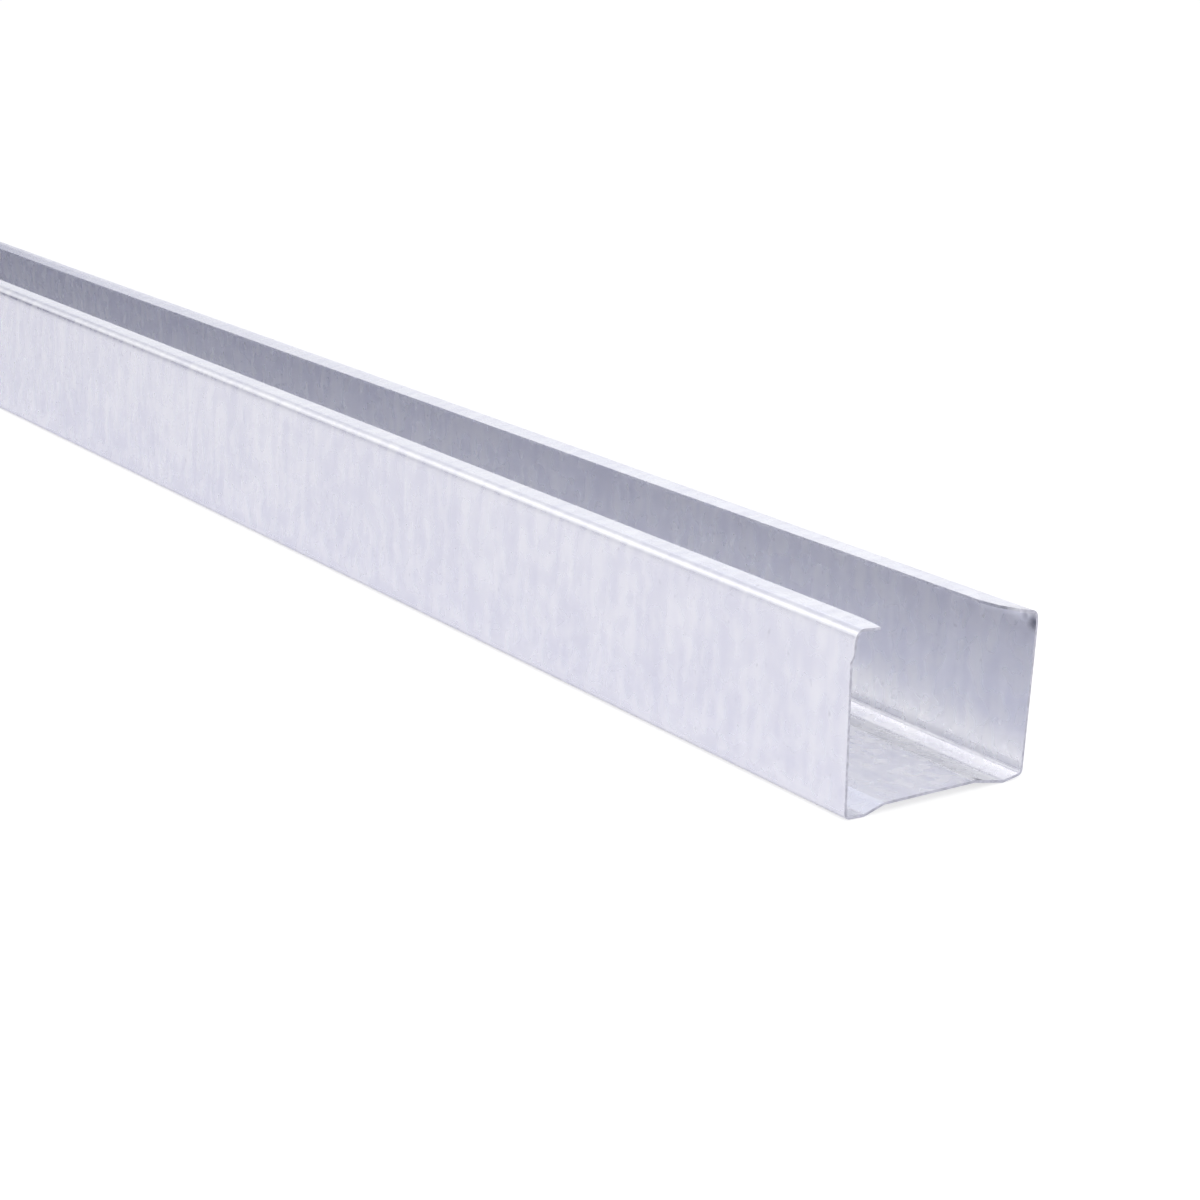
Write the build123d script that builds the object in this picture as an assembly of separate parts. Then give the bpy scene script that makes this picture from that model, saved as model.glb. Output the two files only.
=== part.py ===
from build123d import *
import os

# A drywall stud: one length of galvanised strip, roll formed to a lipped C section.
# It lies on its web with the open side up: X along the length, Y across the web, Z up.
# The origin is on the floor, under the middle of the stud.

# Overall sizes, in millimetres
LENGTH = 2400.0
WEB_WIDTH = 46.8
TALL_FLANGE = 36.0
SHORT_FLANGE = 34.0
LIP = 6.0
SHEET = 0.55

# Stiffening step of the web: a raised panel between two low strips
EDGE_STRIP = 6.5
RAMP_RUN = 4.5
PANEL_RAISE = 1.4

# Inside radii of the rolled bends
CORNER_RADIUS = 1.0
LIP_RADIUS = 0.9
RAMP_RADIUS = 2.0


def strip_midline():
    """Middle of the strip's thickness, from the edge of one lip round to the edge of the other."""
    half_sheet = SHEET / 2
    lip_edge = WEB_WIDTH / 2 - LIP
    wall = WEB_WIDTH / 2 - half_sheet
    ramp_foot = WEB_WIDTH / 2 - EDGE_STRIP
    ramp_head = ramp_foot - RAMP_RUN
    panel = half_sheet + PANEL_RAISE
    corners = [
        (-lip_edge, TALL_FLANGE - half_sheet),
        (-wall, TALL_FLANGE - half_sheet),
        (-wall, half_sheet),
        (-ramp_foot, half_sheet),
        (-ramp_head, panel),
        (ramp_head, panel),
        (ramp_foot, half_sheet),
        (wall, half_sheet),
        (wall, SHORT_FLANGE - half_sheet),
        (lip_edge, SHORT_FLANGE - half_sheet),
    ]
    half_web_bends = [LIP_RADIUS, CORNER_RADIUS, RAMP_RADIUS, RAMP_RADIUS]
    inside_radii = half_web_bends + half_web_bends[::-1]
    return FilletPolyline(*corners, radius=[inside + half_sheet for inside in inside_radii])


def section():
    """The strip's cross-section: the midline given its thickness, half to each side, with square edges."""
    return trace(strip_midline(), line_width=SHEET)


def stud():
    """The section run along the whole length and cut square at both ends."""
    start = Plane.YZ.offset(-LENGTH / 2)
    return extrude(start * section(), amount=LENGTH)


os.makedirs("parts", exist_ok=True)
part = stud()
part.label = "stud"
export_step(part, "parts/stud.step")
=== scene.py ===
"""Looks of a galvanised drywall stud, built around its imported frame."""

import logging
import math
import random
from collections.abc import Iterable
from dataclasses import dataclass
from enum import Enum, IntEnum

import bmesh
import bpy
from mathutils import Matrix, Vector


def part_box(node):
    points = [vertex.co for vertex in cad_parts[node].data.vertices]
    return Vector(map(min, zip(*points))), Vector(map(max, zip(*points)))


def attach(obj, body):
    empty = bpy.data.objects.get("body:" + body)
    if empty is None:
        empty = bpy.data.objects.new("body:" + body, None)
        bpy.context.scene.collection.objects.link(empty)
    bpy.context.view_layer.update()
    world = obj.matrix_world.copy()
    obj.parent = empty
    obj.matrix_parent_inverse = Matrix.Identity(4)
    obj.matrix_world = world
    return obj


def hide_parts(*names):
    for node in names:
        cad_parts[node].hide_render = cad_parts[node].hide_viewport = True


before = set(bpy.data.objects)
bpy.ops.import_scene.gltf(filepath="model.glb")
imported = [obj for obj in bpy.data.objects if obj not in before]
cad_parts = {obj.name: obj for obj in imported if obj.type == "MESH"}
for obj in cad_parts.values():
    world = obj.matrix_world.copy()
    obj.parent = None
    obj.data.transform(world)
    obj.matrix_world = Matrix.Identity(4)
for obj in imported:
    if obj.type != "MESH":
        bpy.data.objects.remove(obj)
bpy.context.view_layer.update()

LOG = logging.getLogger("stud")
MM = 0.001
NODE = "stud"
BODY = "root"
GIRTH = "girth"
BENT = "bent"
TIGHT_BEND = 1.6 * MM
ALONG = Vector((1.0, 0.0, 0.0))
UNIT_HALF = 0.5

Colour = tuple[float, float, float]
Place = tuple[float, float, float]
Scale = tuple[float, float, float]
Span = tuple[float, float]
Points = tuple[tuple[float, float], ...]
Socket = bpy.types.NodeSocket


def between_points(points: Points, place: float) -> float:
    """Value at a place on a line of set points, joined straight and held past both ends.

    Args:
        points: Pairs of a place and the value there, in order.
        place: The place to look at.

    Returns:
        The value.
    """
    if place <= points[0][0]:
        return points[0][1]
    for (near, first), (far, last) in zip(points, points[1:]):
        if place <= far:
            return first + (last - first) * (place - near) / (far - near)
    return points[-1][1]


class Flange(Enum):
    """The two flanges, by the sign of the side of the web that each stands on."""

    TALL = -1
    SHORT = 1


class Zone(IntEnum):
    """Material slots of the strip's mesh."""

    COAT = 0
    CUT_EDGE = 1


@dataclass(frozen=True)
class WebEdge:
    """One side of the web over its outside: head bend, ramp, trough and the strip beside the corner."""

    slope_degrees: float
    tilt_degrees: float
    strip: float
    head_radius: float
    trough_radius: float
    corner_radius: float

    @property
    def slope(self) -> float:
        """Angle of the ramp, in radians."""
        return math.radians(self.slope_degrees)

    @property
    def tilt(self) -> float:
        """Angle at which the strip rises to its corner, in radians."""
        return math.radians(self.tilt_degrees)

    @property
    def foot(self) -> float:
        """Height at which the flange's straight part starts."""
        rise = self.strip * math.sin(self.tilt) + self.trough_radius * (1.0 - math.cos(self.tilt))
        return rise + self.corner_radius * math.cos(self.tilt)

    def ramp(self, panel_raise: float) -> float:
        """Length of the ramp's straight part."""
        bends = (self.trough_radius + self.head_radius) * (1.0 - math.cos(self.slope))
        return (panel_raise - bends) / math.sin(self.slope)

    def half_panel(self, width: float, panel_raise: float) -> float:
        """Width of the raised panel on this side of the middle.

        Args:
            width: Width of the whole web.
            panel_raise: Height of the panel's underside.

        Returns:
            The width from the middle of the web to the head bend.
        """
        corner = self.corner_radius * (1.0 - math.sin(self.tilt)) + self.strip * math.cos(self.tilt)
        trough = self.trough_radius * (math.sin(self.tilt) + math.sin(self.slope))
        ramp = self.ramp(panel_raise) * math.cos(self.slope) + self.head_radius * math.sin(self.slope)
        return width / 2 - corner - trough - ramp


@dataclass(frozen=True)
class Section:
    """Sizes of the rolled section over its outside, in metres and degrees.

    The width and the taller flange come from the frame. The rest are the strip's own sizes.
    """

    width: float
    tall: float
    edges: dict[Flange, WebEdge]
    short: float = 34.0 * MM
    lip: float = 6.0 * MM
    sheet: float = 0.55 * MM
    panel_raise: float = 1.4 * MM
    easing_radius: float = 7.0 * MM
    lip_radius: float = 1.8 * MM
    easing_turn: float = 15.0

    @property
    def easing(self) -> float:
        """Turn of the soft bend under a lip, in radians."""
        return math.radians(self.easing_turn)

    @property
    def lip_flat(self) -> float:
        """Width of the flat part of a lip."""
        easing = self.easing_radius * (1.0 - math.cos(self.easing))
        return self.lip - easing - self.lip_radius * math.cos(self.easing)

    def half_panel(self, flange: Flange) -> float:
        """Width of the raised panel on one side of the middle."""
        return self.edges[flange].half_panel(self.width, self.panel_raise)

    def flange_run(self, flange: Flange) -> float:
        """Length of the straight part of one flange.

        Args:
            flange: The flange.

        Returns:
            The length between its corner and the soft bend under its lip.
        """
        height = self.tall if flange is Flange.TALL else self.short
        bends = self.easing_radius * math.sin(self.easing) + self.lip_radius * (1.0 - math.sin(self.easing))
        return height - bends - self.edges[flange].foot

    def flange_start(self, flange: Flange) -> float:
        """Length of strip from the middle of the web to the straight part of a square flange.

        Args:
            flange: The flange.

        Returns:
            The length along the outside of the strip.
        """
        edge = self.edges[flange]
        web = self.half_panel(flange) + edge.head_radius * edge.slope + edge.ramp(self.panel_raise)
        trough = edge.trough_radius * (edge.slope + edge.tilt) + edge.strip
        return web + trough + edge.corner_radius * (math.pi / 2 - edge.tilt)


class StripPen:
    """Draws the outside of the section as one chain of edges, run by run and bend by bend.

    Each vertex keeps its girth, which is the length of strip from the middle of the web with the sign of its
    side, and how tightly it is bent.
    """

    def __init__(self, mesh: bmesh.types.BMesh, start: bmesh.types.BMVert, side: int) -> None:
        """Puts the pen down.

        Args:
            mesh: The mesh that receives the chain.
            start: The vertex in the middle of the web.
            side: Sign of the side that the pen moves to.
        """
        self.mesh = mesh
        self.side = side
        self.heading = Vector((0.0, float(side), 0.0))
        self.tip = start
        self.chain = [start]
        self.girth = 0.0
        self.layer = mesh.verts.layers.float[GIRTH]
        self.bent = mesh.verts.layers.float[BENT]

    def advance(self, vert: bmesh.types.BMVert, length: float, bent: float = 0.0) -> None:
        """Moves the tip on to a new vertex.

        Args:
            vert: The new vertex.
            length: Length of strip that was drawn.
            bent: How tightly the strip is bent there, one for a tight bend.
        """
        self.girth += length
        vert[self.layer] = self.side * self.girth
        vert[self.bent] = bent
        self.tip = vert
        self.chain.append(vert)

    def run(self, length: float, pieces: int) -> None:
        """Draws a straight run.

        Args:
            length: Length of the run.
            pieces: Number of edges that it is divided into.
        """
        step = length / pieces
        for _ in range(pieces):
            vert = bmesh.ops.extrude_vert_indiv(self.mesh, verts=[self.tip])["verts"][0]
            bmesh.ops.translate(self.mesh, verts=[vert], vec=self.heading * step)
            self.advance(vert, step)

    def bend(self, radius: float, turn: float, pieces: int) -> None:
        """Draws a bend that leaves the run smoothly.

        Args:
            radius: Radius of the bend on the drawn side of the sheet.
            turn: Angle turned, in radians, positive towards the open side.
            pieces: Number of edges in the bend.
        """
        step = self.side * turn / pieces
        left = ALONG.cross(self.heading)
        centre = self.tip.co + left * math.copysign(radius, step)
        tightness = min(TIGHT_BEND / radius, 1.0)
        for piece in range(pieces):
            made = bmesh.ops.spin(
                self.mesh, geom=[self.tip], cent=centre, axis=ALONG, dvec=Vector(),
                angle=step, steps=1, use_merge=False, use_duplicate=False,
            )
            vert = next(v for v in made["geom_last"] if isinstance(v, bmesh.types.BMVert))
            self.advance(vert, radius * abs(step), tightness if piece < pieces - 1 else 0.0)
        self.heading = Matrix.Rotation(self.side * turn, 3, "X") @ self.heading


@dataclass(frozen=True)
class Divisions:
    """Numbers of edges in which the runs and bends of the section are drawn."""

    panel: int = 4
    head: int = 3
    ramp: int = 2
    trough: int = 5
    strip: int = 2
    bend: int = 6
    plain: int = 1
    upper: int = 5
    easing: int = 3
    lip: int = 3


@dataclass(frozen=True)
class LineOfSet:
    """How an angle of the section changes along the length, as set points joined straight.

    Each point is a distance from the cut end, in millimetres, and an angle, in degrees.
    """

    points: Points

    def at(self, distance: float) -> float:
        """Angle in radians at a distance from the cut end, in metres."""
        return math.radians(between_points(self.points, distance / MM))


@dataclass(frozen=True)
class FlangeSet:
    """How one flange and its lip stand along the length."""

    lean: LineOfSet
    droop: LineOfSet


@dataclass(frozen=True)
class Dimples:
    """Staggered rows of dimples, pressed into the flanges from outside."""

    rows: int = 6
    first_row: float = 5.7 * MM
    row_pitch: float = 4.24 * MM
    pitch: float = 4.0 * MM
    depth: float = 0.07 * MM
    shallowest: float = 0.35
    grid_slack: float = 0.05
    band_slack: float = 0.2 * MM
    seed: int = 11

    @property
    def low(self) -> float:
        """Height at which the dimpled band starts."""
        return self.first_row - self.row_pitch / 2

    @property
    def band(self) -> float:
        """Height of the dimpled band."""
        return self.rows * self.row_pitch

    def hits(self, height: float, distance: float) -> bool:
        """Whether a dimple sits at a place on a flange.

        Args:
            height: Height on the flange.
            distance: Distance from the cut end.

        Returns:
            True at the middle of a dimple.
        """
        row = (height - self.first_row) / self.row_pitch
        column = distance / (self.pitch / 2)
        on_grid = all(abs(place - round(place)) < self.grid_slack for place in (row, column))
        inside = 0 <= round(row) < self.rows and round(column) > 0
        return on_grid and inside and (round(row) + round(column)) % 2 == 0


@dataclass(frozen=True)
class CutLine:
    """How far the cut is set back up the taller flange, as points of height and set-back in millimetres."""

    points: Points
    fades_after: float = 14.0 * MM

    def at(self, height: float) -> float:
        """Set-back at a height on the flange, in metres."""
        return between_points(self.points, height / MM) * MM


class NodeTray:
    """The nodes of one material or world, with a short way to add and join them."""

    def __init__(self, tree: bpy.types.NodeTree) -> None:
        """Takes up a node tree."""
        self.tree = tree

    def add(
        self, kind: str, inputs: dict[str | int, object] | None = None, **settings: object,
    ) -> bpy.types.Node:
        """Adds a node and fills its sockets.

        Args:
            kind: Blender's name for the type of node.
            inputs: A value, or another node's output, for each input socket that is set.
            **settings: The node's own settings.

        Returns:
            The new node.
        """
        node = self.tree.nodes.new(kind)
        for name, value in settings.items():
            setattr(node, name, value)
        for name, value in (inputs or {}).items():
            if isinstance(value, Socket):
                self.tree.links.new(value, node.inputs[name])
            else:
                node.inputs[name].default_value = value
        return node

    def noise(self, place: Socket, scale: Scale, detail: float) -> Socket:
        """Adds a noise that may be stretched.

        Args:
            place: The coordinates that it reads.
            scale: Number of its cells in a metre along each axis.
            detail: Number of finer layers in it.

        Returns:
            The noise's value.
        """
        mapped = self.add("ShaderNodeMapping", {"Vector": place, "Scale": scale}, vector_type="POINT")
        noise = self.add(
            "ShaderNodeTexNoise", {"Vector": mapped.outputs["Vector"], "Scale": 1.0, "Detail": detail},
        )
        return noise.outputs["Fac"]

    def soft_step(self, value: Socket, old: Span, new: Span) -> Socket:
        """Adds a soft step from one range to another.

        Args:
            value: The value to change.
            old: Where the step starts and ends.
            new: The values before and after it.

        Returns:
            The changed value.
        """
        step = self.add(
            "ShaderNodeMapRange",
            {"Value": value, "From Min": old[0], "From Max": old[1], "To Min": new[0], "To Max": new[1]},
            interpolation_type="SMOOTHSTEP",
        )
        return step.outputs["Result"]

    def blend(self, share: Socket | float, first: Socket, second: Socket | float) -> Socket:
        """Adds a blend of two values, by a share of the second."""
        mix = self.add("ShaderNodeMix", {0: share, 2: first, 3: second}, data_type="FLOAT")
        return mix.outputs[0]

    def profile(self, value: Socket, points: Points) -> Socket:
        """Adds a value that follows set points, joined straight and held past both ends.

        Args:
            value: The value along which the points are set.
            points: Pairs of a place on that value and the result there.

        Returns:
            The result.
        """
        first, last = points[0][0], points[-1][0]
        along = self.add(
            "ShaderNodeMapRange", {"Value": value, "From Min": first, "From Max": last},
        )
        ramp = self.add("ShaderNodeValToRGB", {"Fac": along.outputs["Result"]})
        stops = ramp.color_ramp.elements
        shares = [(place - first) / (last - first) for place, _ in points]
        for share in shares[1:-1]:
            stops.new(share)
        for stop, (_, level) in zip(stops, points):
            stop.color = (level, level, level, 1.0)
        return ramp.outputs["Color"]

    def tint(self, share: Socket, dark: Colour, light: Colour) -> Socket:
        """Adds a colour between two tints.

        Args:
            share: Share of the light tint.
            dark: The tint at nought.
            light: The tint at one.

        Returns:
            The colour.
        """
        ramp = self.add("ShaderNodeValToRGB", {"Fac": share})
        ramp.color_ramp.elements[0].color = (*dark, 1.0)
        ramp.color_ramp.elements[1].color = (*light, 1.0)
        return ramp.outputs["Color"]


@dataclass(frozen=True)
class ShadeAndSmudge:
    """A round dark spot on the coat, darkest at its place and fading out over its reach. Those at the shorter
    flange just under its lip at the cut end are painted shade under that lip.
    """

    place: Place
    reach: float
    depth: float


@dataclass(frozen=True)
class GalvanisedFinish:
    """Zinc coat of the strip.

    It has rolling lines on the web, streaks and specks on the flanges, dark spots, and duller bends; the dark
    spots just under the shorter flange's lip at the cut end are painted shade. Low down, its metallic share
    follows points across the section, from the taller flange's side to the shorter one's.
    """

    shade_and_smudges: tuple[ShadeAndSmudge, ...]
    name: str = "galvanised_coat"
    colour: Colour = (0.925, 0.927, 0.992)
    # Colour of the specks and of the dark spots; the spots under the shorter flange's lip at the cut end are
    # painted shade.
    dark: Colour = (0.20, 0.20, 0.24)
    tone_spread: float = 0.064
    roughness: Span = (0.23, 0.31)
    bent_roughness: float = 0.42
    bent_metal: float = 0.6
    metal_across: Points = (
        (-22.5 * MM, 0.78), (-12.5 * MM, 0.84), (-9.0 * MM, 1.0), (9.0 * MM, 1.0), (10.5 * MM, 0.4),
        (16.4 * MM, 0.3), (18.2 * MM, 0.87), (21.6 * MM, 0.87), (22.6 * MM, 0.72),
    )
    trough_height: Span = (2.5 * MM, 8.0 * MM)
    streaks: Scale = (430.0, 60.0, 80.0)
    roll_marks: Scale = (4.0, 480.0, 480.0)
    mottle: Scale = (300.0, 300.0, 210.0)
    cloud: Scale = (60.0, 60.0, 60.0)
    specks: Scale = (800.0, 800.0, 620.0)
    speck_step: Span = (0.70, 0.80)
    speck_depth: float = 0.16
    flange_from: Span = (2.5 * MM, 4.5 * MM)
    soft_detail: float = 1.0
    fine_detail: float = 2.0
    mottle_share: float = 0.5
    cloud_share: float = 0.25
    tone_step: Span = (0.32, 0.68)
    dull_step: Span = (0.3, 0.7)
    relief: float = 0.006 * MM
    relief_strength: float = 0.3

    def shade(self, change: float) -> Colour:
        """The coat's colour made lighter or darker by a share."""
        return tuple(min(part * (1.0 + change), 1.0) for part in self.colour)

    def marks_and_shade(self, tray: NodeTray, place: Socket, on_flange: Socket) -> Socket:
        """Adds the specks and the dark spots, of which those under the shorter flange's lip at the cut end
        are painted shade.

        Args:
            tray: The material's nodes.
            place: The coordinates.
            on_flange: One on the flanges and nought on the web.

        Returns:
            How dark the specks and the spots are, painted shade included.
        """
        spots = tray.noise(place, self.specks, self.soft_detail)
        specks = tray.soft_step(spots, self.speck_step, (0.0, self.speck_depth))
        dark = tray.add("ShaderNodeMath", {0: specks, 1: on_flange}, operation="MULTIPLY").outputs[0]
        # Dark spots; those under the shorter flange's lip at the cut end are painted shade.
        for dark_patch in self.shade_and_smudges:
            away = tray.add("ShaderNodeVectorMath", {0: place, 1: dark_patch.place}, operation="DISTANCE")
            spot = tray.soft_step(away.outputs["Value"], (0.0, dark_patch.reach), (dark_patch.depth, 0.0))
            dark = tray.add("ShaderNodeMath", {0: dark, 1: spot}, operation="MAXIMUM").outputs[0]
        return dark

    def metal_share(self, tray: NodeTray, place: Socket, bent: Socket) -> Socket:
        """Adds how metallic the coat is, which is less where it is bent and down in the troughs.

        Args:
            tray: The material's nodes.
            place: The coordinates.
            bent: How tightly the strip is bent.

        Returns:
            The metallic share.
        """
        parts = tray.add("ShaderNodeSeparateXYZ", {"Vector": place}).outputs
        trough = tray.profile(parts["Y"], self.metal_across)
        raised = tray.soft_step(parts["Z"], self.trough_height, (0.0, 1.0))
        return tray.blend(bent, tray.blend(raised, trough, 1.0), self.bent_metal)

    def material(self) -> bpy.types.Material:
        """Makes the coat's material.

        Returns:
            The material.
        """
        material = bpy.data.materials.new(self.name)
        material.use_nodes = True
        tray = NodeTray(material.node_tree)
        shader = material.node_tree.nodes["Principled BSDF"]
        place = tray.add("ShaderNodeTexCoord").outputs["Object"]
        height = tray.add("ShaderNodeSeparateXYZ", {"Vector": place}).outputs["Z"]
        on_flange = tray.soft_step(height, self.flange_from, (0.0, 1.0))
        bent = tray.add("ShaderNodeAttribute", attribute_name=BENT).outputs["Fac"]
        rolled = tray.noise(place, self.roll_marks, self.fine_detail)
        streaked = tray.noise(place, self.streaks, self.soft_detail)
        grain = tray.blend(on_flange, rolled, streaked)
        mottle = tray.noise(place, self.mottle, self.soft_detail)
        cloud = tray.noise(place, self.cloud, self.fine_detail)
        texture = tray.blend(self.mottle_share, grain, mottle)
        clouded = tray.blend(self.cloud_share, texture, cloud)
        tone = tray.soft_step(clouded, self.tone_step, (0.0, 1.0))
        clean = tray.tint(tone, self.shade(-self.tone_spread), self.shade(self.tone_spread))
        marks_and_shade = self.marks_and_shade(tray, place, on_flange)
        # Mixes the dark colour in at the specks and at the dark spots, painted shade under the shorter lip
        # included.
        colour = tray.add(
            "ShaderNodeMix", {0: marks_and_shade, 6: clean, 7: (*self.dark, 1.0)}, data_type="RGBA",
        ).outputs[2]
        metal = self.metal_share(tray, place, bent)
        flat = tray.soft_step(mottle, self.dull_step, self.roughness)
        dull = tray.blend(bent, flat, self.bent_roughness)
        relief = tray.add(
            "ShaderNodeBump", {"Height": texture, "Strength": self.relief_strength, "Distance": self.relief},
        )
        links = material.node_tree.links
        links.new(colour, shader.inputs["Base Color"])
        links.new(metal, shader.inputs["Metallic"])
        links.new(dull, shader.inputs["Roughness"])
        links.new(relief.outputs["Normal"], shader.inputs["Normal"])
        return material


@dataclass(frozen=True)
class CutEdgeFinish:
    """Bare steel of the sheared ends, with the fine drag lines of the shear."""

    name: str = "bare_cut_edge"
    dark: Colour = (0.54, 0.54, 0.59)
    light: Colour = (0.76, 0.76, 0.81)
    roughness: Span = (0.4, 0.6)
    drag_lines: Scale = (300.0, 900.0, 900.0)
    drag_detail: float = 3.0
    drag_step: Span = (0.3, 0.7)
    relief: float = 0.03 * MM
    relief_strength: float = 0.5

    def material(self) -> bpy.types.Material:
        """Makes the cut edge's material.

        Returns:
            The material.
        """
        material = bpy.data.materials.new(self.name)
        material.use_nodes = True
        tray = NodeTray(material.node_tree)
        shader = material.node_tree.nodes["Principled BSDF"]
        shader.inputs["Metallic"].default_value = 1.0
        place = tray.add("ShaderNodeTexCoord").outputs["Object"]
        drag = tray.noise(place, self.drag_lines, self.drag_detail)
        tone = tray.soft_step(drag, self.drag_step, (0.0, 1.0))
        dull = tray.soft_step(drag, self.drag_step, self.roughness)
        relief = tray.add(
            "ShaderNodeBump", {"Height": drag, "Strength": self.relief_strength, "Distance": self.relief},
        )
        links = material.node_tree.links
        links.new(tray.tint(tone, self.dark, self.light), shader.inputs["Base Color"])
        links.new(dull, shader.inputs["Roughness"])
        links.new(relief.outputs["Normal"], shader.inputs["Normal"])
        return material


@dataclass
class StudStrip:
    """The stud: one strip, rolled to its section, run along its length and cut at both ends."""

    section: Section
    start: float
    end: float
    sets: dict[Flange, FlangeSet]
    dimples: Dimples
    cut_line: CutLine
    coat: GalvanisedFinish
    cut_edge: CutEdgeFinish
    close_stations: tuple[float, ...] = (
        0.0, 0.5, 1.0, 2.0, 3.0, 4.0, 5.0, 6.0, 8.0, 10.0, 12.0, 14.0,
    )
    wide_stations: tuple[float, ...] = (16.0, 96.0, 272.0, 400.0, 1104.0)
    column_gap: float = 16.0 * MM
    divisions: Divisions = Divisions()
    end_facing: float = 0.7
    crease_degrees: float = 35.0
    name: str = "stud_strip"

    def stations(self) -> list[float]:
        """Distances from the cut end at which the section is drawn, close together near that end."""
        length = self.end - self.start
        return [place * MM for place in self.close_stations + self.wide_stations] + [length]

    def draw_half(self, pen: StripPen, flange: Flange, distance: float) -> None:
        """Draws half of the section, from the middle of the web to the edge of a lip.

        Args:
            pen: The pen, put down in the middle of the web.
            flange: The flange on this side.
            distance: Distance from the cut end.
        """
        size, edge, right = self.section, self.section.edges[flange], math.pi / 2
        edges = self.divisions
        lean = self.sets[flange].lean.at(distance)
        droop = self.sets[flange].droop.at(distance)
        plain = self.dimples.low - edge.foot
        pen.run(size.half_panel(flange), edges.panel)
        pen.bend(edge.head_radius, -edge.slope, edges.head)
        pen.run(edge.ramp(size.panel_raise), edges.ramp)
        pen.bend(edge.trough_radius, edge.slope + edge.tilt, edges.trough)
        pen.run(edge.strip, edges.strip)
        pen.bend(edge.corner_radius, right - edge.tilt - lean, edges.bend)
        pen.run(plain, edges.plain)
        pen.run(self.dimples.band, 2 * self.dimples.rows)
        pen.run(size.flange_run(flange) - plain - self.dimples.band, edges.upper)
        pen.bend(size.easing_radius, size.easing, edges.easing)
        pen.bend(size.lip_radius, right - size.easing + droop, edges.bend)
        pen.run(size.lip_flat, edges.lip)

    def draw_section(self, mesh: bmesh.types.BMesh, distance: float) -> list[bmesh.types.BMEdge]:
        """Draws the outside of the whole section at one place.

        Args:
            mesh: The mesh that receives the chain of edges.
            distance: Distance from the cut end.

        Returns:
            The edges of the chain.
        """
        middle = mesh.verts.new((self.end - distance, 0.0, self.section.panel_raise))
        edges = set()
        for flange in Flange:
            pen = StripPen(mesh, middle, flange.value)
            self.draw_half(pen, flange, distance)
            edges.update(edge for vert in pen.chain for edge in vert.link_edges)
        return list(edges)

    def roll_out(self, mesh: bmesh.types.BMesh) -> None:
        """Draws the section at each station and joins each to the one before it.

        Args:
            mesh: The mesh that receives the sheet.
        """
        mesh.verts.layers.float.new(GIRTH)
        mesh.verts.layers.float.new(BENT)
        before: list[bmesh.types.BMEdge] = []
        for distance in self.stations():
            chain = self.draw_section(mesh, distance)
            if before:
                bmesh.ops.bridge_loops(mesh, edges=before + chain)
            before = chain
        self.divide(mesh, mesh.edges, self.column_gap)
        bmesh.ops.recalc_face_normals(mesh, faces=mesh.faces)

    def divide(self, mesh: bmesh.types.BMesh, edges: Iterable[bmesh.types.BMEdge], gap: float) -> None:
        """Divides the edges that run along the stud into equal pieces.

        Args:
            mesh: The mesh of the open sheet.
            edges: The edges to look at.
            gap: Length of a piece.
        """
        by_cuts: dict[int, list[bmesh.types.BMEdge]] = {}
        for edge in edges:
            span = abs(edge.verts[0].co.x - edge.verts[1].co.x)
            cuts = round(span / gap) - 1
            if cuts > 0:
                by_cuts.setdefault(cuts, []).append(edge)
        for cuts, group in by_cuts.items():
            bmesh.ops.subdivide_edges(mesh, edges=group, cuts=cuts)

    def flange_height(self, girth: float) -> float:
        """Height on a flange's straight part, from the signed place along the section."""
        flange = Flange.TALL if girth < 0.0 else Flange.SHORT
        return abs(girth) - self.section.flange_start(flange) + self.section.edges[flange].foot

    def press_dimples(self, mesh: bmesh.types.BMesh) -> None:
        """Divides the flanges along the length and presses the dimples into them.

        Args:
            mesh: The mesh of the open sheet.
        """
        girth = mesh.verts.layers.float[GIRTH]
        low = self.dimples.low - self.dimples.band_slack
        high = self.dimples.low + self.dimples.band + self.dimples.band_slack

        def height(vert: bmesh.types.BMVert) -> float:
            """Height of a vertex on its flange."""
            return self.flange_height(vert[girth])

        def in_band(vert: bmesh.types.BMVert) -> bool:
            """Whether a vertex is in the dimpled band."""
            return low <= height(vert) <= high

        banded = [edge for edge in mesh.edges if all(in_band(vert) for vert in edge.verts)]
        self.divide(mesh, banded, self.dimples.pitch / 2)
        mesh.normal_update()
        draw = random.Random(self.dimples.seed)
        for vert in mesh.verts:
            if in_band(vert) and self.dimples.hits(height(vert), self.end - vert.co.x):
                depth = self.dimples.depth * draw.uniform(self.dimples.shallowest, 1.0)
                vert.co -= vert.normal * depth

    def trim(self, mesh: bmesh.types.BMesh) -> None:
        """Draws the sheet back to the line of the cut, which is out of square on the taller flange.

        Args:
            mesh: The mesh of the open sheet.
        """
        girth = mesh.verts.layers.float[GIRTH]
        for vert in mesh.verts:
            distance = self.end - vert.co.x
            if vert[girth] < 0.0 and distance < self.cut_line.fades_after:
                kept = distance / self.cut_line.fades_after
                vert.co.x -= self.cut_line.at(self.flange_height(vert[girth])) * (1.0 - kept)

    def zone_faces(self, faces: Iterable[bmesh.types.BMFace]) -> None:
        """Gives the sheared ends their own material slot.

        Args:
            faces: The faces of the closed strip.
        """
        for face in faces:
            ends = abs(face.normal.x) > self.end_facing
            face.material_index = Zone.CUT_EDGE if ends else Zone.COAT
            face.smooth = True

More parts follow.
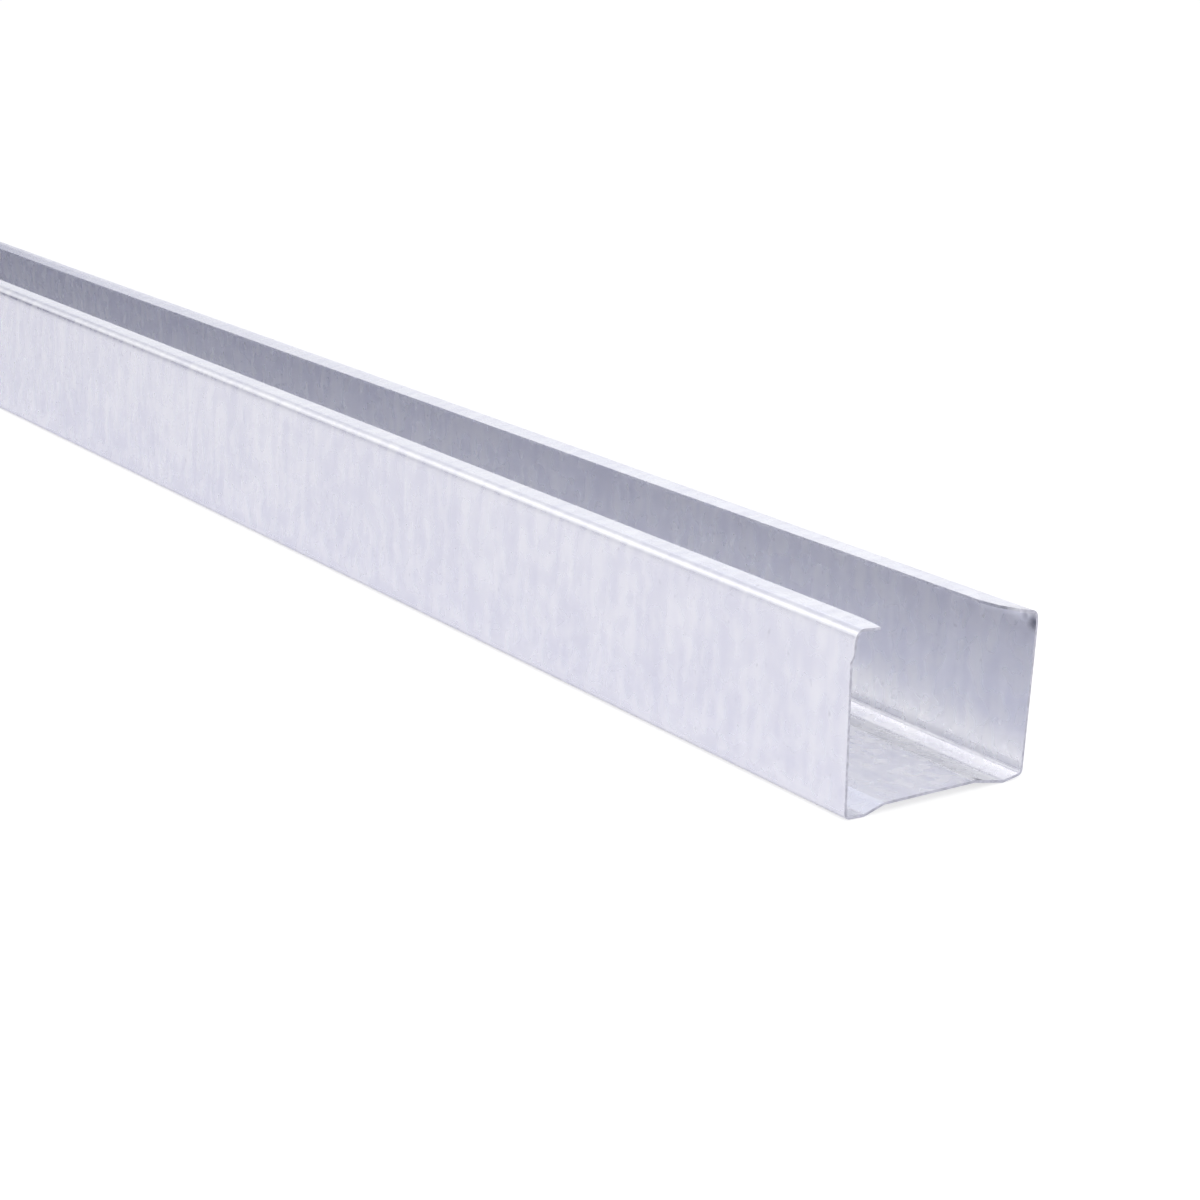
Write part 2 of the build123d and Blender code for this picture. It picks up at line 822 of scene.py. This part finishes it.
    def build(self) -> bpy.types.Object:
        """Makes the strip's object.

        Returns:
            The object, in place and dressed.
        """
        mesh = bmesh.new()
        self.roll_out(mesh)
        self.press_dimples(mesh)
        self.trim(mesh)
        bmesh.ops.recalc_face_normals(mesh, faces=mesh.faces)
        bmesh.ops.solidify(mesh, geom=list(mesh.faces), thickness=self.section.sheet)
        bmesh.ops.recalc_face_normals(mesh, faces=mesh.faces)
        self.zone_faces(mesh.faces)
        data = bpy.data.meshes.new(self.name)
        LOG.info("volume %.1f mm3", mesh.calc_volume() / MM ** 3)
        mesh.to_mesh(data)
        mesh.free()
        data.set_sharp_from_angle(angle=math.radians(self.crease_degrees))
        data.materials.append(self.coat.material())
        data.materials.append(self.cut_edge.material())
        piece = bpy.data.objects.new(self.name, data)
        bpy.context.scene.collection.objects.link(piece)
        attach(piece, BODY)
        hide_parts(NODE)
        triangles = sum(len(face.vertices) - 2 for face in data.polygons)
        LOG.info("%s: %d faces, %d triangles", piece.name, len(data.polygons), triangles)
        return piece


@dataclass(frozen=True)
class PhotoCamera:
    """Camera at the photograph's viewing angle, placed from the stud's cut end."""

    cut_end: float
    image_px: float = 1200.0
    focal_px: float = 2348.0
    yaw: float = 51.13
    pitch: float = 16.484
    roll: float = 4.099
    offset: Place = (276.9 * MM, -306.1 * MM, 154.4 * MM)
    sensor_mm: float = 36.0
    clip_start: float = 10.0 * MM

    def build(self) -> bpy.types.Object:
        """Makes the camera and sets it as the scene's own.

        Returns:
            The camera.
        """
        yaw, pitch, roll = (math.radians(a) for a in (self.yaw, self.pitch, self.roll))
        level = math.cos(pitch)
        forward = Vector((-math.sin(yaw) * level, math.cos(yaw) * level, -math.sin(pitch)))
        right = Vector((math.cos(yaw), math.sin(yaw), 0.0))
        up = right.cross(forward)
        rolled_right = math.cos(roll) * right + math.sin(roll) * up
        rolled_up = math.cos(roll) * up - math.sin(roll) * right
        data = bpy.data.cameras.new("photo_camera")
        data.sensor_width = self.sensor_mm
        data.lens = self.focal_px / self.image_px * self.sensor_mm
        data.clip_start = self.clip_start
        camera = bpy.data.objects.new("photo_camera", data)
        turned = Matrix((rolled_right, rolled_up, -forward)).transposed()
        place = Vector(self.offset) + self.cut_end * ALONG
        camera.matrix_world = Matrix.Translation(place) @ turned.to_4x4()
        bpy.context.scene.collection.objects.link(camera)
        bpy.context.scene.camera = camera
        return camera


@dataclass(frozen=True)
class SoftBox:
    """One soft rectangular lamp, aimed at a point."""

    name: str
    place: Place
    aim: Place
    size: tuple[float, float]
    watts: float
    colour: Colour = (1.0, 1.0, 1.0)

    def build(self) -> bpy.types.Object:
        """Makes the lamp.

        Returns:
            The lamp, aimed and out of the camera's sight.
        """
        data = bpy.data.lights.new(self.name, "AREA")
        data.shape = "RECTANGLE"
        data.size, data.size_y = self.size
        data.energy = self.watts
        data.color = self.colour
        lamp = bpy.data.objects.new(self.name, data)
        way = Vector(self.aim) - Vector(self.place)
        turned = way.to_track_quat("-Z", "Y").to_matrix().to_4x4()
        lamp.matrix_world = Matrix.Translation(Vector(self.place)) @ turned
        lamp.visible_camera = False
        bpy.context.scene.collection.objects.link(lamp)
        return lamp


@dataclass(frozen=True)
class StudioCard:
    """A card out of sight that faces the stud, for the metal to mirror.

    Its azimuth goes from the plain end's side (0) towards the shorter flange's side (90). Its tone goes from
    first to last along its width.
    """

    name: str
    facing: Place
    azimuth: float
    elevation: float
    size: tuple[float, float]
    first: Colour
    last: Colour
    roll: float = 0.0
    distance: float = 3.0

    def axes(self) -> Matrix:
        """Works out how the card is turned.

        Returns:
            The directions of its width, its height and its back, as columns.
        """
        turn, lift = math.radians(self.azimuth), math.radians(self.elevation)
        across = Vector((math.sin(turn), math.cos(turn), 0.0))
        away = Vector((-math.cos(turn) * math.cos(lift), math.sin(turn) * math.cos(lift), math.sin(lift)))
        upward = across.cross(away)
        level = Matrix((across, upward, away)).transposed()
        return level @ Matrix.Rotation(math.radians(self.roll), 3, "Z")

    def material(self, middle: Vector, way: Vector) -> bpy.types.Material:
        """Makes the card's own glow, from its first tone to its last along its width.

        Args:
            middle: The card's middle.
            way: The direction of its width.

        Returns:
            The material.
        """
        material = bpy.data.materials.new(self.name)
        material.use_nodes = True
        tray = NodeTray(material.node_tree)
        tray.tree.nodes.remove(tray.tree.nodes["Principled BSDF"])
        place = tray.add("ShaderNodeTexCoord").outputs["Object"]
        along = tray.add("ShaderNodeVectorMath", {0: place, 1: way}, operation="DOT_PRODUCT").outputs["Value"]
        centre, half = way.dot(middle), self.size[0] / 2
        share = tray.soft_step(along, (centre - half, centre + half), (0.0, 1.0))
        tone = tray.tint(share, self.first, self.last)
        glow = tray.add("ShaderNodeEmission", {"Color": tone})
        tray.tree.links.new(glow.outputs[0], tray.tree.nodes["Material Output"].inputs["Surface"])
        return material

    def build(self) -> bpy.types.Object:
        """Makes the card.

        Returns:
            The card, in place and seen only in reflections.
        """
        axes = self.axes()
        middle = Vector(self.facing) + axes.col[2] * self.distance
        mesh = bmesh.new()
        bmesh.ops.create_grid(mesh, x_segments=1, y_segments=1, size=UNIT_HALF)
        bmesh.ops.scale(mesh, verts=mesh.verts, vec=Vector((*self.size, 1.0)))
        bmesh.ops.rotate(mesh, verts=mesh.verts, cent=Vector(), matrix=axes)
        bmesh.ops.translate(mesh, verts=mesh.verts, vec=middle)
        data = bpy.data.meshes.new(self.name)
        mesh.to_mesh(data)
        mesh.free()
        data.materials.append(self.material(middle, axes.col[0]))
        card = bpy.data.objects.new(self.name, data)
        card.visible_camera = False
        card.visible_diffuse = False
        card.visible_shadow = False
        bpy.context.scene.collection.objects.link(card)
        return card


@dataclass(frozen=True)
class Studio:
    """Pale floor, white surroundings, soft lamps and cards."""

    cut_end: float
    floor_reach: float = 14.0
    floor_sides: int = 96
    floor_drop: float = 0.05 * MM
    floor_colour: Colour = (0.835, 0.83, 0.90)
    mirrored: Colour = (0.90, 0.905, 0.94)
    shown_floor: float = 0.42
    shown_glow: float = 0.70
    ambient: float = 0.74
    lamp_set_back: float = 0.15
    overhead_offset: Place = (0.55, -0.3, 1.1)
    overhead_size: tuple[float, float] = (0.9, 0.9)
    overhead_watts: float = 3.8
    key_offset: Place = (-1.19, -1.03, 1.23)
    key_size: tuple[float, float] = (1.2, 0.85)
    key_watts: float = 3.1
    key_colour: Colour = (1.0, 0.965, 0.88)
    card_set_back: float = 0.1

    def floor(self) -> bpy.types.Object:
        """Makes the floor, a wide disc just under the stud.

        Returns:
            The floor.
        """
        mesh = bmesh.new()
        bmesh.ops.create_circle(mesh, cap_ends=True, segments=self.floor_sides, radius=self.floor_reach)
        bmesh.ops.translate(mesh, verts=mesh.verts, vec=Vector((0.0, 0.0, -self.floor_drop)))
        data = bpy.data.meshes.new("floor")
        mesh.to_mesh(data)
        mesh.free()
        material = bpy.data.materials.new("pale_floor")
        material.use_nodes = True
        tray = NodeTray(material.node_tree)
        tray.tree.nodes.remove(tray.tree.nodes["Principled BSDF"])
        lit = tray.add("ShaderNodeBsdfDiffuse", {"Color": (*self.floor_colour, 1.0)})
        shown = tray.add("ShaderNodeBsdfDiffuse", {"Color": (*[self.shown_floor] * 3, 1.0)})
        glow = tray.add("ShaderNodeEmission", {"Strength": self.shown_glow})
        both = tray.add("ShaderNodeAddShader", {0: shown.outputs[0], 1: glow.outputs[0]})
        path = tray.add("ShaderNodeLightPath")
        mix = tray.add(
            "ShaderNodeMixShader",
            {"Fac": path.outputs["Is Camera Ray"], 1: lit.outputs[0], 2: both.outputs[0]},
        )
        tray.tree.links.new(mix.outputs[0], tray.tree.nodes["Material Output"].inputs["Surface"])
        data.materials.append(material)
        floor = bpy.data.objects.new("floor", data)
        bpy.context.scene.collection.objects.link(floor)
        return floor

    def surroundings(self) -> None:
        """White where the camera and the metal look, a plain ambient light elsewhere."""
        world = bpy.data.worlds.new("white_room")
        bpy.context.scene.world = world
        world.use_nodes = True
        tray = NodeTray(world.node_tree)
        white = (1.0, 1.0, 1.0, 1.0)
        ambient = world.node_tree.nodes["Background"]
        ambient.inputs["Color"].default_value = white
        ambient.inputs["Strength"].default_value = self.ambient
        shown = tray.add("ShaderNodeBackground", {"Color": white, "Strength": 1.0})
        mirrored = tray.add("ShaderNodeBackground", {"Color": (*self.mirrored, 1.0), "Strength": 1.0})
        path = tray.add("ShaderNodeLightPath").outputs
        bounced = tray.add(
            "ShaderNodeMath", {0: path["Is Glossy Ray"], 1: path["Is Transmission Ray"]}, operation="MAXIMUM",
        )
        room = tray.add(
            "ShaderNodeMixShader", {"Fac": bounced.outputs[0], 1: ambient.outputs[0], 2: mirrored.outputs[0]},
        )
        mix = tray.add(
            "ShaderNodeMixShader", {"Fac": path["Is Camera Ray"], 1: room.outputs[0], 2: shown.outputs[0]},
        )
        tray.tree.links.new(mix.outputs[0], tray.tree.nodes["World Output"].inputs["Surface"])

    def beside(self, here: Place, offset: Place) -> Place:
        """Gives the place at an offset from another."""
        return tuple(part + more for part, more in zip(here, offset))

    def lamps(self) -> list[bpy.types.Object]:
        """Makes the soft lamps: one overhead and a slightly warm one from the taller flange's side.

        Returns:
            The lamps.
        """
        here = (self.cut_end - self.lamp_set_back, 0.0, 0.0)
        overhead = SoftBox(
            "overhead_box", self.beside(here, self.overhead_offset), here, self.overhead_size,
            self.overhead_watts,
        )
        key = SoftBox(
            "key_box", self.beside(here, self.key_offset), here, self.key_size,
            self.key_watts, self.key_colour,
        )
        return [overhead.build(), key.build()]

    def cards(self) -> list[bpy.types.Object]:
        """Makes the cards.

        Two stand past the plain end, one slants up beside them, one is in front and one overhead. A bright
        pair stands on the shorter flange's side.

        Returns:
            The cards.
        """
        here = (self.cut_end - self.card_set_back, 0.0, 0.0)
        low = StudioCard(
            "low_card", here, azimuth=-4.0, elevation=5.0, size=(2.3, 0.74),
            first=(0.04, 0.04, 0.10), last=(0.02, 0.02, 0.06),
        )
        end = StudioCard(
            "end_card", here, azimuth=-1.5, elevation=18.5, size=(1.95, 0.88),
            first=(0.70, 0.71, 0.80), last=(0.02, 0.02, 0.10), distance=2.9,
        )
        slant = StudioCard(
            "slant_card", here, azimuth=21.0, elevation=39.5, roll=58.0, size=(1.93, 0.84),
            first=(0.36, 0.37, 0.52), last=(0.86, 0.87, 0.94), distance=2.8,
        )
        front = StudioCard(
            "front_card", here, azimuth=-54.0, elevation=5.0, size=(3.6, 0.66),
            first=(0.95, 0.95, 0.98), last=(0.50, 0.50, 0.58),
        )
        above = StudioCard(
            "above_card", here, azimuth=0.0, elevation=90.0, size=(4.2, 4.2),
            first=(0.04, 0.05, 0.18), last=(0.04, 0.05, 0.18),
        )
        side = StudioCard(
            "side_card", here, azimuth=64.0, elevation=18.0, size=(1.4, 1.4),
            first=(0.95, 0.95, 0.98), last=(1.3, 1.3, 1.3),
        )
        upper = StudioCard(
            "upper_card", here, azimuth=42.0, elevation=41.0, size=(1.3, 0.9),
            first=(1.20, 1.23, 1.42), last=(1.45, 1.48, 1.65), distance=2.9,
        )
        return [card.build() for card in (low, end, slant, front, above, side, upper)]

    def build(self) -> None:
        """Sets up the whole studio."""
        self.floor()
        self.surroundings()
        self.lamps()
        self.cards()
        bpy.context.scene.view_settings.view_transform = "Standard"


def main() -> None:
    """Builds the stud, the camera and the studio."""
    logging.basicConfig(level=logging.INFO)
    low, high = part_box(NODE)
    edges = {
        Flange.TALL: WebEdge(
            slope_degrees=16.0, tilt_degrees=3.0, strip=3.4 * MM,
            head_radius=1.5 * MM, trough_radius=1.5 * MM, corner_radius=1.55 * MM,
        ),
        Flange.SHORT: WebEdge(
            slope_degrees=10.0, tilt_degrees=9.0, strip=3.8 * MM,
            head_radius=1.2 * MM, trough_radius=2.0 * MM, corner_radius=1.2 * MM,
        ),
    }
    section = Section(width=high.y - low.y, tall=high.z - low.z, edges=edges)
    cut_line = CutLine(((2.0, 0.0), (30.0, 1.5), (30.8, 0.75), (60.0, 0.75)))
    sets = {
        Flange.TALL: FlangeSet(
            lean=LineOfSet(((0.0, 1.9), (400.0, -0.9), (1104.0, -0.5))),
            droop=LineOfSet(((0.0, 6.0), (2.5, 2.0), (5.0, 0.0))),
        ),
        Flange.SHORT: FlangeSet(
            lean=LineOfSet(((0.0, -1.7), (400.0, -4.9), (1104.0, -0.5))),
            droop=LineOfSet(
                ((0.0, -13.0), (5.0, -4.0), (10.0, 0.0), (96.0, 3.0), (272.0, 6.0), (1104.0, 0.0)),
            ),
        ),
    }
    # Dark spots on the coat. The first two, at the shorter flange just under its lip at the cut end, are
    # painted shade under that lip.
    shade_and_smudges = (
        ShadeAndSmudge((high.x - 0.3 * MM, 22.4 * MM, 31.4 * MM), reach=2.6 * MM, depth=1.0),
        ShadeAndSmudge((high.x - 2.6 * MM, 22.4 * MM, 32.2 * MM), reach=1.5 * MM, depth=0.7),
        ShadeAndSmudge((high.x - 4.4 * MM, -22.6 * MM, 32.6 * MM), reach=1.2 * MM, depth=0.7),
        ShadeAndSmudge((high.x - 1.6 * MM, -22.6 * MM, 29.8 * MM), reach=0.9 * MM, depth=0.7),
        ShadeAndSmudge((high.x - 0.2 * MM, 11.6 * MM, 1.6 * MM), reach=1.6 * MM, depth=1.0),
    )
    stud = StudStrip(
        section=section, start=low.x, end=high.x, sets=sets, dimples=Dimples(), cut_line=cut_line,
        coat=GalvanisedFinish(shade_and_smudges), cut_edge=CutEdgeFinish(),
    )
    piece = stud.build()
    LOG.info("built %s", piece.name)
    PhotoCamera(high.x).build()
    Studio(high.x).build()


if __name__ == "__main__":
    main()
